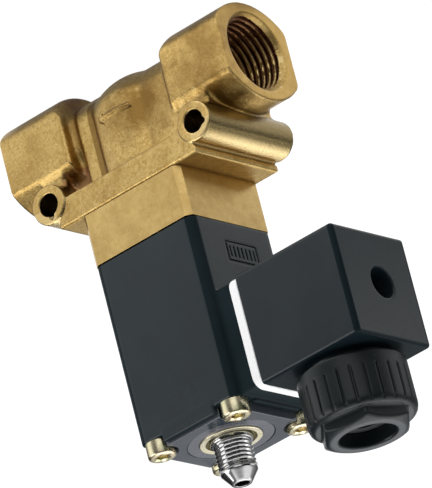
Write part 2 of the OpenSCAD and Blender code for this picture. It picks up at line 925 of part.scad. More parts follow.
valve_body();
bonnet();
bonnet_seal();
main_piston();
piston_seat_seal();
piston_ring();
main_spring();
guide_tube();
guide_tube_oring();
plunger();
plunger_seal();
plunger_spring();
fixed_core();
shading_ring();
exhaust_nipple();
coil_housing();
lower_pole_plate();
yoke_sleeve();
coil_bobbin();
coil_winding();
end_plate();
pole_washer();
retaining_ring();
housing_screws();
terminal_blades();
connector_gasket();
connector_housing();
terminal_block();
terminal_clamps();
terminal_screws();
connector_screw();
screw_washer();
cable_grommet();
gland_ring();
gland_nut();
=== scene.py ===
"""Looks of a servo-assisted solenoid valve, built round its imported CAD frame.

Shapes are worked out in millimetres and turned into metres when a mesh is made.
"""
import json
import math

import bpy
import numpy as np
import openvdb
from mathutils import Matrix, Vector


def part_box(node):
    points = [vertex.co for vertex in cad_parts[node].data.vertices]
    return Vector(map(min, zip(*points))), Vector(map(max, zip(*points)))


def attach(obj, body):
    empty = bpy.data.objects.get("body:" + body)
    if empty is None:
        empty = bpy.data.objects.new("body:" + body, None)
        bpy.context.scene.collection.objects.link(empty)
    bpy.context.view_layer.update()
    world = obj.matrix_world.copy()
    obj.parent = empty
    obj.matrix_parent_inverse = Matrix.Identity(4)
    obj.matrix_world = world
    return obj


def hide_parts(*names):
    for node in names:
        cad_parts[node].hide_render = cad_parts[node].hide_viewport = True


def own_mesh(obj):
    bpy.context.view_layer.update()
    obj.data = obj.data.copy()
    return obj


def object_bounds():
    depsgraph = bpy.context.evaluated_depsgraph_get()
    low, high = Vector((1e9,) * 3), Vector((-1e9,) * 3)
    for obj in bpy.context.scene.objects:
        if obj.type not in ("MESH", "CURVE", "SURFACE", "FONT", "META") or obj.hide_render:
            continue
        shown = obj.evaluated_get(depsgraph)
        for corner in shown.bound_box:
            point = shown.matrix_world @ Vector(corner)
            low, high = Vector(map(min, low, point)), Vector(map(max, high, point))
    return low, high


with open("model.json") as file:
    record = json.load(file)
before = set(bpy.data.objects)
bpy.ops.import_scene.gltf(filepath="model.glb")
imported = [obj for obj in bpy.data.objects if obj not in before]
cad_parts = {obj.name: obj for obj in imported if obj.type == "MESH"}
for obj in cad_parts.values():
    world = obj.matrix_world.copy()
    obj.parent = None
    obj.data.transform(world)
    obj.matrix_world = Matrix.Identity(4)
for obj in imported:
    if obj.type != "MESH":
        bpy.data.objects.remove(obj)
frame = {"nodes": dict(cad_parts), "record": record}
cad_low, cad_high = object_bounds()

MM = 0.001
RECORD = frame["record"]
MOUNTS = {m["name"]: m for m in RECORD["mounts"]}
SLOTS = {part["node"]: part["material_slot"] for part in RECORD["subparts"]}
BODY_OF = {n: body for body, nodes in RECORD["behaviour"]["bodies"].items() for n in nodes}


def span(node):
    """Lowest and highest corner of a CAD node, mm."""
    low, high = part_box(node)
    return low / MM, high / MM


# ---- leading sizes, mm; the first of them are read from the frame ----

BODY_LOW, BODY_HIGH = span("valve_body")
COIL_LOW, COIL_HIGH = span("coil_housing")
PLUG_LOW, PLUG_HIGH = span("connector_housing")
NUT_LOW, NUT_HIGH = span("gland_nut")
NIPPLE_LOW, NIPPLE_HIGH = span("exhaust_nipple")
BONNET_LOW = span("bonnet")[0]
PLATE_LOW, PLATE_HIGH = span("end_plate")

HALF_LEN = BODY_HIGH.x
PORT_Z = MOUNTS["inlet_port"]["pos_m"][2] / MM
PORT_MINOR_R = MOUNTS["inlet_port"]["dims"]["r_mm"]
HOLE_R = MOUNTS["mounting_holes"]["dims"]["hole_r_mm"]
BOSS_X = MOUNTS["mounting_holes"]["dims"]["spacing_x_mm"] / 2
BOSS_HALF = BODY_HIGH.y
JOINT_Z = BONNET_LOW.z
SEAT_TOP = PLATE_LOW.z

# Sizes of the forging that more than one function uses; heights are from the port axis.
FLAT_HALF = 13.4
BLOCK_INNER = 16.6
STEP_X = 7.2
FLANGE_UNDER = 16.3
FLANGE_HALF_X, FLANGE_HALF_Y = 22.7, 15.8
BOSS_R = 5.15
WALLS_TOP = 17.0

# Places of the four long screws.
SCREW_X, SCREW_Y = 12.25, 12.1


# ---- signed distances on a grid: negative inside, mm ----

class Grid:
    """Sample points of a box with a little room round it."""

    def __init__(self, low, high, step):
        self.step = step
        self.low = np.array(low, float) - 3 * step
        counts = np.ceil((np.array(high, float) - self.low) / step).astype(int) + 4
        lines = [(self.low[k] + step * np.arange(counts[k])).astype(np.float32) for k in range(3)]
        self.x, self.y, self.z = np.meshgrid(*lines, indexing="ij", sparse=True)


def join(a, b, k=None):
    """Union, with a fillet about k wide where the shapes meet."""
    if k is None:
        return np.minimum(a, b)
    h = np.clip(0.5 + 0.5 * (b - a) / k, 0, 1)
    return b + (a - b) * h - k * h * (1 - h)


def meet(a, b, k=None):
    """Intersection, with its edge rounded over a width of about k."""
    return -join(-a, -b, k)


def cut(a, b, k=None):
    """a without b."""
    return meet(a, -b, k)


def rect(a, b, half_a, half_b, r):
    """Rectangle with corners of radius r, in any two coordinates."""
    qa = np.abs(a) - (half_a - r)
    qb = np.abs(b) - (half_b - r)
    return np.hypot(np.maximum(qa, 0), np.maximum(qb, 0)) + np.minimum(np.maximum(qa, qb), 0) - r


def block(g, low, high, r):
    """Box from corner to corner with every edge rounded to r."""
    q = [np.abs(c - (l + h) / 2) - ((h - l) / 2 - r) for c, l, h in zip((g.x, g.y, g.z), low, high)]
    outside = np.sqrt(sum(np.maximum(c, 0) ** 2 for c in q))
    return outside + np.minimum(np.maximum(np.maximum(q[0], q[1]), q[2]), 0) - r


def rod(across_a, across_b, along, r, low, high, k=None):
    """Round rod of radius r between low and high on the third coordinate."""
    return meet(np.hypot(across_a, across_b) - r, slab(along, low, high), k)


def slab(along, low, high):
    return np.abs(along - (low + high) / 2) - (high - low) / 2


# ---- meshes ----

def new_piece(name, points, faces, smooth_below=35):
    """Object from points in mm, smooth where its faces turn less than smooth_below degrees."""
    mesh = bpy.data.meshes.new(name)
    mesh.from_pydata((np.asarray(points, float) * MM).tolist(), [], faces)
    mesh.validate()
    mesh.polygons.foreach_set("use_smooth", [True] * len(mesh.polygons))
    mesh.set_sharp_from_angle(angle=math.radians(smooth_below))
    obj = bpy.data.objects.new(name, mesh)
    bpy.context.scene.collection.objects.link(obj)
    return obj


def skin(name, g, distance):
    """The surface where distance is zero, as a piece."""
    volume = openvdb.FloatGrid(float(g.step))
    volume.copyFromArray(np.ascontiguousarray(distance, dtype=np.float32))
    points, triangles, quads = volume.convertToPolygons(isovalue=0.0, adaptivity=0.0)
    faces = quads.tolist() + triangles.tolist()
    return new_piece(name, points * g.step + g.low, faces)


def turned(name, profile, radius_change, centres=((0.0, 0.0),), sides=96):
    """Round solids on vertical axes, from (radius, height) points that run round one section.

    radius_change(radius, height, angle) is added to the radius, for threads and sockets.
    """
    angles = 2 * np.pi * np.arange(sides) / sides
    r, z = (np.array(profile, float)[:, k] for k in (0, 1))
    rr, aa = np.meshgrid(r, angles, indexing="ij")
    zz = np.broadcast_to(z[:, None], rr.shape)
    rr = rr + radius_change(rr, zz, aa)
    points, faces = [], []
    for number, (cx, cy) in enumerate(centres):
        first = number * rr.size
        points.append(np.stack([cx + rr * np.cos(aa), cy + rr * np.sin(aa), zz], -1).reshape(-1, 3))
        for i in range(len(r)):
            k = (i + 1) % len(r)
            for j in range(sides):
                n = (j + 1) % sides
                corners = (i * sides + j, i * sides + n, k * sides + n, k * sides + j)
                faces.append(tuple(first + c for c in corners))
    return new_piece(name, np.concatenate(points), faces)


def line(start, end, count):
    """count + 1 evenly spaced points of a profile's straight stretch, both ends included."""
    t = np.linspace(0, 1, count + 1)[:, None]
    return (np.array(start) * (1 - t) + np.array(end) * t).tolist()


# ---- materials ----

class Look:
    """A node material built up round one Principled shader."""

    def __init__(self, name, colour, roughness, metallic=0.0, specular=0.5):
        self.material = bpy.data.materials.new(name)
        self.material.use_nodes = True
        self.material.diffuse_color = (*colour, 1)
        self.tree = self.material.node_tree
        self.surface = self.tree.nodes["Principled BSDF"]
        self.place = self.tree.nodes.new("ShaderNodeTexCoord").outputs["Object"]
        self.colour = self.rgb(colour)
        self.normal = None
        self.set("Metallic", metallic)
        self.set("Specular IOR Level", specular)
        self.set("Roughness", roughness)

    def add(self, kind, inputs, **settings):
        """A new node; inputs maps a socket's name or number to a value or to another node's output."""
        node = self.tree.nodes.new("ShaderNode" + kind)
        for name, value in settings.items():
            setattr(node, name, value)
        for key, value in inputs.items():
            if isinstance(value, bpy.types.NodeSocket):
                self.tree.links.new(value, node.inputs[key])
            else:
                node.inputs[key].default_value = value
        return node

    def set(self, name, value):
        if isinstance(value, bpy.types.NodeSocket):
            self.tree.links.new(value, self.surface.inputs[name])
        else:
            self.surface.inputs[name].default_value = value

    def rgb(self, colour):
        node = self.tree.nodes.new("ShaderNodeRGB")
        node.outputs[0].default_value = (*colour, 1)
        return node.outputs[0]

    def maths(self, operation, a, b=0.0):
        return self.add("Math", {0: a, 1: b}, operation=operation).outputs[0]

    def square(self, value):
        return self.maths("MULTIPLY", value, value)

    def times(self, *values):
        product = values[0]
        for value in values[1:]:
            product = self.maths("MULTIPLY", product, value)
        return product

    def inverse(self, share):
        """1 minus a share."""
        return self.maths("SUBTRACT", 1.0, share)

    def hypot(self, a, b):
        return self.maths("SQRT", self.maths("ADD", self.square(a), self.square(b)))

    def coordinate(self, axis):
        """X, Y or Z of the shaded point, metres."""
        return self.add("SeparateXYZ", {0: self.place}).outputs[axis]

    def band(self, value, low, high, soft=0.2):
        """1 where value, metres, lies between two sizes in mm, fading out over soft mm at both ends."""
        rise = self.scaled(value, (low - soft) * MM, (low + soft) * MM, 0.0, 1.0)
        fall = self.scaled(value, (high - soft) * MM, (high + soft) * MM, 1.0, 0.0)
        return self.times(rise, fall)

    def spot(self, centre, reach):
        """1 at a point given in mm, fading to 0 about reach mm away, with a ragged edge."""
        inputs = {0: self.place, 1: [c * MM for c in centre]}
        away = self.add("VectorMath", inputs, operation="DISTANCE").outputs["Value"]
        ragged = self.scaled(self.noise(reach / 3), 0.3, 0.7, -0.3 * reach * MM, 0.3 * reach * MM)
        return self.scaled(self.maths("ADD", away, ragged), 0.2 * reach * MM, reach * MM, 1.0, 0.0)

    def noise(self, size, detail=3.0, stretch=(1, 1, 1)):
        """Noise whose blobs are about size mm across, and stretch times that along each axis."""
        scale = [1 / (size * MM * s) for s in stretch]
        place = self.add("VectorMath", {0: self.place, 1: scale}, operation="MULTIPLY").outputs[0]
        inputs = {"Vector": place, "Scale": 1.0, "Detail": detail, "Roughness": 0.6}
        return self.add("TexNoise", inputs).outputs["Fac"]

    def scaled(self, value, from_low, from_high, to_low, to_high):
        """A value mapped from one range to another, held at the ends."""
        inputs = {0: value, 1: from_low, 2: from_high, 3: to_low, 4: to_high}
        return self.add("MapRange", inputs).outputs[0]

    def tint(self, colour, share):
        """Mixes another colour in by share, a number or an output."""
        inputs = {0: share, 6: self.colour, 7: self.rgb(colour)}
        self.colour = self.add("Mix", inputs, data_type="RGBA").outputs[2]

    def mottle(self, colour, size, low, high, share, detail=3):
        """Mixes in blotches of another colour about size mm across, where the noise goes from low to high."""
        self.tint(colour, self.scaled(self.noise(size, detail), low, high, 0.0, share))

    def varied(self, size, low, high, detail=3):
        """A value that wanders from low to high over size mm."""
        return self.scaled(self.noise(size, detail), 0.3, 0.7, low, high)

    def bump(self, height, depth, strength=1.0):
        """Raises the surface by height, a 0 to 1 output, times depth in mm."""
        inputs = {"Height": height, "Strength": strength, "Distance": depth * MM}
        if self.normal is not None:
            inputs["Normal"] = self.normal
        self.normal = self.add("Bump", inputs).outputs[0]

    def worn_and_highlit_edges(self, colour, share):
        """Lighter convex edges: wear where handling rubs the surface, and a painted edge highlight."""
        bend = self.add("NewGeometry", {}).outputs["Pointiness"]
        self.tint(colour, self.scaled(bend, 0.52, 0.60, 0.0, share))

    def crease_shade(self, colour, reach, share):
        """Painted shade in creases: another colour mixed in where surfaces within reach mm close in."""
        inputs = {"Distance": reach * MM}
        open_sky = self.add("AmbientOcclusion", inputs, samples=8).outputs["AO"]
        self.tint(colour, self.scaled(open_sky, 0.45, 0.95, share, 0.0))

    def done(self):
        self.set("Base Color", self.colour)
        if self.normal is not None:
            self.set("Normal", self.normal)
        return self.material


BRASS = (0.555, 0.386, 0.138)
BRASS_DEEP = (0.34, 0.205, 0.055)
BRASS_PALE = (0.74, 0.57, 0.28)
BRASS_TURNED = (0.50, 0.315, 0.085)
# The next three colours are painted shade: deep shade for holes, grooves and hollows, shade for creases and
# shaded patches, and the shaded part of the boss barrels.
BRASS_DEEP_SHADE = (0.16, 0.055, 0.035)
BRASS_SHADE = (0.20, 0.112, 0.028)
BRASS_BARREL_SHADE = (0.24, 0.18, 0.075)


# Darker patches of the forging, painted shade where its parts shade one another or face away from the light:
# colour, centre and reach in mm, share.
FORGING_SHADE_PATCHES = [
    (BRASS_SHADE, (-7.5, -13, PORT_Z + 3), 12, 0.95),      # front of the dome
    (BRASS_SHADE, (-30.5, -FLAT_HALF, PORT_Z), 14, 0.75),  # front of the inlet block
    (BRASS_SHADE, (-30, -9, PORT_Z + 11.5), 8, 0.9),       # between the inlet block and its boss
    (BRASS_DEEP, (-HALF_LEN, -3, PORT_Z - 12), 8, 0.8),    # bottom of the inlet's face
    (BRASS_DEEP_SHADE, (15, -6, PORT_Z - 9), 8, 0.7),         # neck beside the outlet block
]


class ForgingLook(Look):
    """A look with the forging's own distances at hand, all in metres."""

    def __init__(self, name, colour, roughness):
        super().__init__(name, colour, roughness, metallic=1.0)
        self.x, self.y, self.z = (self.coordinate(axis) for axis in (0, 1, 2))
        self.from_middle = self.maths("ABSOLUTE", self.x)
        self.from_axis = self.maths("ABSOLUTE", self.y)
        self.height = self.maths("SUBTRACT", self.z, PORT_Z * MM)
        self.from_port = self.hypot(self.y, self.height)
        self.from_hole = self.hypot(self.maths("SUBTRACT", self.from_middle, BOSS_X * MM), self.z)


def tint_creases(look):
    """Painted shade beside the dome, under the flange and by the outlet block; the flange's sawn ends are
    pale.
    """
    # Painted shade: a dark strip beside the dome's slanted step and a dark line along the flange's underside.
    below_flange = look.band(look.height, -20, FLANGE_UNDER - 0.5)
    step = look.times(look.band(look.x, STEP_X - 0.3, 10.0), look.band(look.from_axis, 9.5, FLAT_HALF),
                      below_flange)
    look.tint(BRASS_SHADE, look.times(step, 0.85))
    under_edge = look.times(look.band(look.height, FLANGE_UNDER - 0.2, FLANGE_UNDER + 0.3, 0.1),
                            look.band(look.x, -16, 14.2))
    look.tint(BRASS_SHADE, look.times(under_edge, 0.8))
    sawn = look.times(look.band(look.height, FLANGE_UNDER + 0.5, 21),
                      look.maths("GREATER_THAN", look.from_middle, (FLANGE_HALF_X - 0.2) * MM))
    look.tint(BRASS_PALE, look.times(sawn, look.scaled(look.y, -14 * MM, -2 * MM, 0.5, 1.0)))
    # Painted shade in the channel by the outlet block and in the pocket under the flange.
    channel = look.times(look.band(look.x, 14.0, 16.4, 0.6), look.band(look.from_axis, 3, 12.6), below_flange)
    look.tint(BRASS_SHADE, look.times(channel, 0.55))
    pocket = look.times(look.band(look.x, 14.5, 21.5, 0.4), look.band(look.height, 8.6, 14.0),
                        look.band(look.from_axis, 5, 12.2))
    look.tint(BRASS_DEEP_SHADE, look.times(pocket, 0.6))


def tint_ports(look):
    """Painted shade in the thread grooves and low down in the bores, with painted highlights on the crests
    higher up.
    """
    # Painted shade in the grooves and the lower part of each bore.
    groove = look.scaled(look.from_port, (PORT_MINOR_R + 0.15) * MM, (PORT_MINOR_R + 0.6) * MM, 0.0, 0.97)
    low_down = look.scaled(look.height, -9 * MM, 1 * MM, 0.75, 0.0)
    threaded = look.band(look.from_middle, HALF_LEN - 14.5, HALF_LEN - 1.4, 0.05)
    bore = look.times(threaded, look.maths("LESS_THAN", look.from_port, (PORT_MINOR_R + 1.4) * MM))
    look.tint(BRASS_DEEP_SHADE, look.times(look.maths("MAXIMUM", groove, low_down), bore))
    # Painted highlight on the thread crests.
    crest = look.scaled(look.from_port, (PORT_MINOR_R + 0.05) * MM, (PORT_MINOR_R + 0.25) * MM, 0.7, 0.0)
    look.tint(BRASS_PALE, look.times(crest, bore, look.scaled(low_down, 0.2, 0.6, 1.0, 0.0)))


def tint_bosses(look, barrel):
    """Painted shade in the holes through the bosses; the barrels carry a painted highlight on the coil side
    and painted shade on the rest.
    """
    # Painted shade inside the mounting holes.
    in_hole = look.maths("LESS_THAN", look.from_hole, (HOLE_R + 0.15) * MM)
    look.tint(BRASS_DEEP_SHADE, look.times(in_hole, 0.9))
    # Painted highlight band on the barrels' coil side, painted shade on the rest.
    look.tint(BRASS_PALE, look.times(barrel, look.scaled(look.z, 3.8 * MM, 4.6 * MM, 0.0, 0.8)))
    look.tint(BRASS_BARREL_SHADE, look.times(barrel, look.scaled(look.z, 3.4 * MM, 4.6 * MM, 0.9, 0.0)))


def cast_brass():
    """Blasted forging with machined port faces and boss ends, with painted shade in its creases, holes,
    grooves and shaded patches and painted highlights on thread crests and boss barrels.
    """
    look = ForgingLook("forged_brass", BRASS, 0.4)
    skin_depth = 0.15
    port_face = look.maths("GREATER_THAN", look.from_middle, (HALF_LEN - skin_depth) * MM)
    boss_end = look.maths("GREATER_THAN", look.from_axis, (BOSS_HALF - skin_depth) * MM)
    as_forged = look.inverse(look.maths("MAXIMUM", port_face, boss_end))
    barrel = look.times(look.maths("LESS_THAN", look.from_hole, (BOSS_R + 0.25) * MM), as_forged)
    look.mottle(BRASS_DEEP, 8, 0.42, 0.68, 0.75, detail=4)
    look.mottle(BRASS_DEEP, 0.9, 0.46, 0.68, 0.75)
    look.mottle(BRASS_PALE, 0.5, 0.52, 0.72, 0.55)
    look.tint(BRASS_TURNED, look.times(port_face, 0.6))
    # Lighter convex edges, partly wear and partly a painted edge highlight.
    look.worn_and_highlit_edges(BRASS_PALE, 0.6)
    # Painted shade in the creases.
    look.crease_shade(BRASS_SHADE, 2.0, 0.7)
    # Painted shade patches of the forging.
    for colour, centre, reach, share in FORGING_SHADE_PATCHES:
        look.tint(colour, look.times(look.spot(centre, reach), share))
    tint_creases(look)
    tint_ports(look)
    tint_bosses(look, barrel)
    roughness = look.varied(2.5, 0.26, 0.40, detail=4)
    look.set("Roughness", look.times(roughness, look.scaled(barrel, 0, 1, 1.0, 0.7)))
    look.bump(look.times(look.noise(0.45, 3), as_forged), 0.11, 1.0)
    look.bump(look.noise(4.0, 2), 0.06, 0.7)
    return look.done()


def milled_brass():
    """Sawn bar, faintly lined along the flow, with painted shade in its creases and on a patch at its low-x
    side.
    """
    look = Look("machined_brass", BRASS, 0.32, metallic=1.0)
    look.mottle(BRASS_DEEP, 6, 0.42, 0.72, 0.70, detail=4)
    look.mottle(BRASS_DEEP, 0.8, 0.48, 0.72, 0.50)
    lines = look.noise(0.16, 2, stretch=(60, 60, 1))
    look.tint(BRASS_PALE, look.scaled(lines, 0.45, 0.8, 0.0, 0.15))
    # Painted shade on the bonnet's low-x side.
    look.tint(BRASS_DEEP, look.times(look.spot((BONNET_LOW.x, -5, 3), 20), 0.9))
    # Lighter convex edges, partly wear and partly a painted edge highlight.
    look.worn_and_highlit_edges(BRASS_PALE, 0.6)
    # Painted shade in the creases.
    look.crease_shade(BRASS_SHADE, 1.5, 0.6)
    look.set("Roughness", look.varied(2.0, 0.26, 0.38, detail=4))
    look.bump(lines, 0.004, 0.8)
    return look.done()


def turned_metal(name, colour, dark, roughness):
    """Lathe-turned metal: streaks run round the vertical axis."""
    look = Look(name, colour, roughness, metallic=1.0)
    rings = look.noise(0.12, 2, stretch=(80, 80, 1))
    look.tint(dark, look.scaled(rings, 0.5, 0.8, 0.0, 0.35))
    look.mottle(dark, 3, 0.5, 0.8, 0.3)
    look.set("Roughness", look.scaled(rings, 0.3, 0.7, roughness * 0.8, roughness * 1.4))
    look.bump(rings, 0.006, 0.6)
    return look.done()


def passivated(name, colour, tints, roughness):
    """Plated steel whose film shifts in hue from place to place."""
    look = Look(name, colour, roughness, metallic=1.0)
    for number, tone in enumerate(tints):
        look.mottle(tone, 2.2 + 1.3 * number, 0.48, 0.68, 0.6, detail=2)
    look.set("Roughness", look.varied(0.6, roughness * 0.8, roughness * 1.4))
    look.bump(look.noise(0.4, 3), 0.008, 0.6)
    return look.done()


def painted(name, colour, pale, roughness, metallic):
    """Lacquered steel with a clear gloss and lighter edges, a painted edge highlight."""
    edge_highlight = (0.35, 0.37, 0.40)
    look = Look(name, colour, roughness, metallic=metallic)
    look.mottle(pale, 5, 0.45, 0.75, 0.5)
    # Painted edge highlight along convex edges.
    look.worn_and_highlit_edges(edge_highlight, 0.5)
    look.set("Roughness", look.varied(1.5, roughness * 0.8, roughness * 1.3))
    look.set("Coat Weight", 0.15)
    look.set("Coat Roughness", 0.12)
    look.bump(look.noise(0.8, 2), 0.01, 0.5)
    return look.done()


def plastic(name, colour, pale, roughness, grain, depth, specular=0.35, shade_corner=None, lit_top=False,
            painted_glow=0.0):
    """Moulded plastic or rubber with a fine grain, grain mm across and depth mm deep.

    shade_corner (x, y) is where upright corner strips without gloss start, painted shade; what faces up loses
    its gloss with them, painted shade too. lit_top lightens the flat tops, a painted sheen, and painted_glow
    is painted light that the piece gives off.
    """
    top_sheen = (0.085, 0.093, 0.10)
    look = Look(name, colour, roughness, specular=specular)
    upward = look.add("SeparateXYZ", {0: look.add("NewGeometry", {}).outputs["Normal"]}).outputs[2]
    # Painted shade: corner strips and up-facing faces lose their gloss so that they look darker.
    if shade_corner is not None:
        from_middle = [look.maths("ABSOLUTE", look.coordinate(axis)) for axis in (0, 1)]
        beyond = [look.maths("GREATER_THAN", c, start * MM) for c, start in zip(from_middle, shade_corner)]
        shade_mask = look.maths("MAXIMUM", look.times(*beyond), look.maths("GREATER_THAN", upward, 0.6))
        look.set("Specular IOR Level", look.scaled(shade_mask, 0, 1, specular, 0.04))
    # Painted glow: the piece gives off light though it is no lamp.
    look.set("Emission Color", (*colour, 1))
    look.set("Emission Strength", painted_glow)
    look.mottle(pale, 12, 0.4, 0.75, 0.6)
    # Painted sheen: flat tops tinted lighter.
    if lit_top:
        look.tint(top_sheen, look.scaled(upward, 0.96, 0.995, 0.0, 0.9))
    # Lighter convex edges, partly wear and partly a painted edge highlight.
    look.worn_and_highlit_edges(pale, 0.6)
    look.set("Roughness", look.varied(1.2, roughness * 0.85, roughness * 1.15, detail=4))
    look.bump(look.noise(grain, 3), depth, 0.8)
    return look.done()


STEEL = (0.62, 0.62, 0.64)
STEEL_DARK = (0.30, 0.30, 0.32)

# Each plain finish: its maker and the maker's arguments after the name.
FINISHES = {
    "bright_steel": (turned_metal, (0.54, 0.54, 0.54), (0.30, 0.30, 0.30), 0.12),
    "stainless": (turned_metal, STEEL, STEEL_DARK, 0.28),
    "spring_steel": (turned_metal, STEEL, STEEL_DARK, 0.25),
    "plated_steel": (turned_metal, (0.52, 0.53, 0.55), STEEL_DARK, 0.4),
    "copper": (turned_metal, (0.72, 0.34, 0.18), (0.40, 0.15, 0.07), 0.3),
    "tinned_brass": (turned_metal, (0.68, 0.67, 0.62), STEEL_DARK, 0.3),
    "yellow_zinc": (passivated, (0.78, 0.71, 0.48), [(0.82, 0.60, 0.44), (0.50, 0.54, 0.32)], 0.24),
    "pale_gold": (passivated, (0.82, 0.76, 0.55), [(0.70, 0.64, 0.42), (0.86, 0.82, 0.70)], 0.34),
    "dark_steel": (painted, (0.008, 0.018, 0.028), (0.026, 0.040, 0.055), 0.12, 0.1),
    "grey_steel": (painted, (0.11, 0.115, 0.14), (0.16, 0.16, 0.19), 0.22, 0.4),
    "coil_plastic": (plastic, (0.009, 0.017, 0.021), (0.015, 0.026, 0.031), 0.38, 0.25, 0.010),
    "plug_plastic": (plastic, (0.008, 0.015, 0.019), (0.014, 0.023, 0.028), 0.34, 0.30, 0.014),
    "gland_plastic": (plastic, (0.006, 0.010, 0.012), (0.011, 0.016, 0.018), 0.36, 0.25, 0.008),
    "white_rubber": (plastic, (0.97, 0.97, 0.97), (0.92, 0.93, 0.94), 0.55, 0.3, 0.01),
    "black_rubber": (plastic, (0.012, 0.012, 0.012), (0.025, 0.025, 0.025), 0.6, 0.3, 0.015),
    "red_rubber": (plastic, (0.34, 0.06, 0.04), (0.42, 0.10, 0.07), 0.6, 0.3, 0.015),
    "ptfe": (plastic, (0.78, 0.77, 0.72), (0.84, 0.84, 0.80), 0.45, 0.4, 0.006),
    "pale_nylon": (plastic, (0.68, 0.65, 0.55), (0.75, 0.72, 0.64), 0.45, 0.4, 0.008),
    "grey_nylon": (plastic, (0.40, 0.40, 0.38), (0.48, 0.48, 0.46), 0.45, 0.4, 0.008),
}

# Named settings that some of the plain finishes need besides.
EXTRAS = {
    # Painted shade on the coil and plug corners and tops, a painted sheen on the gland's top and a painted
    # glow on the white rubber.
    "coil_plastic": {"shade_corner": (13.9, 13.3)},
    "plug_plastic": {"shade_corner": (52.8, 12.8)},
    "gland_plastic": {"lit_top": True},
    "white_rubber": {"painted_glow": 0.13},
}


def build_materials():
    """Every material slot's finish, by name."""
    materials = {"forged_brass": cast_brass(), "machined_brass": milled_brass()}
    for name, (maker, *values) in FINISHES.items():
        materials[name] = maker(name, *values, **EXTRAS.get(name, {}))
    return materials


MATERIALS = build_materials()


def finish_piece(obj, *nodes):
    """Gives a piece the material, body and slot of the CAD nodes it stands for."""
    obj.data.materials.append(MATERIALS[SLOTS[nodes[0]]])
    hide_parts(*nodes)
    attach(obj, BODY_OF[nodes[0]])
    return obj


# ---- valve body ----

# Turns the sum of two distances into the distance from a 45 degree slope.
DIAGONAL = 0.7071


def port_thread_radius(g, z):
    """Wall radius of the threaded ports at each point; the thread fades at both its ends."""
    pitch, depth = 1.814, 1.1
    crest, flank = 0.28, 0.6
    inner_end, run_out, lead_in = 23.5, 1.2, 0.5
    phase = np.mod(g.x / pitch - np.arctan2(z, g.y) / (2 * np.pi), 1.0)
    ridge = np.abs(2 * phase - 1)
    groove = np.clip((ridge - crest) / flank, 0, 1)
    from_middle = np.abs(g.x)
    started = np.clip((from_middle - inner_end) / run_out, 0, 1)
    fade = started * np.clip((HALF_LEN - lead_in - from_middle) / lead_in, 0, 1)
    return PORT_MINOR_R + depth * fade * groove * groove * (3 - 2 * groove)


def port_blocks(g, z):
    """The two port ends: flat sides and square inner ends under crowns above and below."""
    ax, ay = np.abs(g.x), np.abs(g.y)
    crown_r, crown_top = 18.0, 13.25
    edge, lower_edge, lower_inner_edge, upright_edge, face_edge = 0.8, 1.0, 3.0, 1.4, 0.35
    crown = np.hypot(g.y, np.abs(z) + crown_r - crown_top) - crown_r
    lower = z < 0
    sides = meet(crown, ay - FLAT_HALF, np.where(lower, lower_edge, edge))
    inner_ends = meet(crown, BLOCK_INNER - ax, np.where(lower, lower_inner_edge, edge))
    uprights = meet(ay - FLAT_HALF, BLOCK_INNER - ax, upright_edge)
    blocks = np.maximum(np.maximum(sides, inner_ends), uprights)
    return meet(blocks, ax - HALF_LEN, face_edge)


def neck_and_walls(g, z):
    """The neck between the port ends, and the wider walls that rise from it to the flange."""
    ay = np.abs(g.y)
    crown_r, crown_top = 13.2, 9.0
    neck_y, neck_x, neck_edge = 9.9, 18.0, 1.5
    outlet_y, outlet_x = 11.1, 13.9
    inlet_y, inlet_x = 12.0, -20
    wall_edge = 1.2
    crown = np.hypot(g.y, np.abs(z) + crown_r - crown_top) - crown_r
    neck = meet(meet(ay - neck_y, crown, neck_edge), np.abs(g.x) - neck_x)
    lower_crown = np.hypot(g.y, crown_r - crown_top - np.minimum(z, 0)) - crown_r
    outlet_wall = meet(meet(ay - outlet_y, lower_crown, wall_edge), slab(g.x, 0, outlet_x), wall_edge)
    inlet_wall = meet(meet(ay - inlet_y, lower_crown, wall_edge), slab(g.x, inlet_x, 0))
    return neck, meet(join(outlet_wall, inlet_wall), z - WALLS_TOP)


def dome(g, z):
    """Round dome over the seat, cut back at a slant beside the outlet wall."""
    dome_r, cap_r, cap_z, cap_edge = 14.2, 16.3, 5.9, 1.0
    step_y, slant_x, slant_y, step_edge = 12.24, 0.72, 0.69, 0.3
    cap = np.sqrt(g.x ** 2 + g.y ** 2 + np.minimum(z - cap_z, 0) ** 2) - cap_r
    whole = meet(meet(np.hypot(g.x, g.y) - dome_r, cap, cap_edge), z - WALLS_TOP)
    return meet(whole, (g.x - STEP_X) * slant_x + (np.abs(g.y) - step_y) * slant_y, step_edge)


def bosses_and_webs(g, z):
    """Webs between port ends and flange, the filled middle behind them, and the two cross-drilled bosses."""
    ax = np.abs(g.x)
    web_y, web_z, web_edge = 12.1, 9.0, 1.0
    web_start, web_end = 20.5, 27.4
    filled_y, filled_x, filled_r = 9.0, 22.0, 0.5
    boss_edge = 0.5
    web = meet(rect(g.y, z - web_z, web_y, web_z, web_edge), slab(ax, web_start, web_end), web_edge)
    filled = meet(rect(g.y, z - web_z, filled_y, web_z, filled_r), ax - filled_x)
    boss = rod(ax - BOSS_X, z + PORT_Z, g.y, BOSS_R, -BOSS_HALF, BOSS_HALF, boss_edge)
    return web, filled, boss


def flange(g, z):
    """Flange plate, bevelled along the long edges next to the bonnet."""
    top = JOINT_Z - PORT_Z
    corner_r, edge, bevel = 0.5, 0.6, 0.6
    plate = meet(rect(g.x, g.y, FLANGE_HALF_X, FLANGE_HALF_Y, corner_r), slab(z, FLANGE_UNDER, top), edge)
    return meet(plate, (np.abs(g.y) + z - (FLANGE_HALF_Y + top - bevel)) * DIAGONAL)


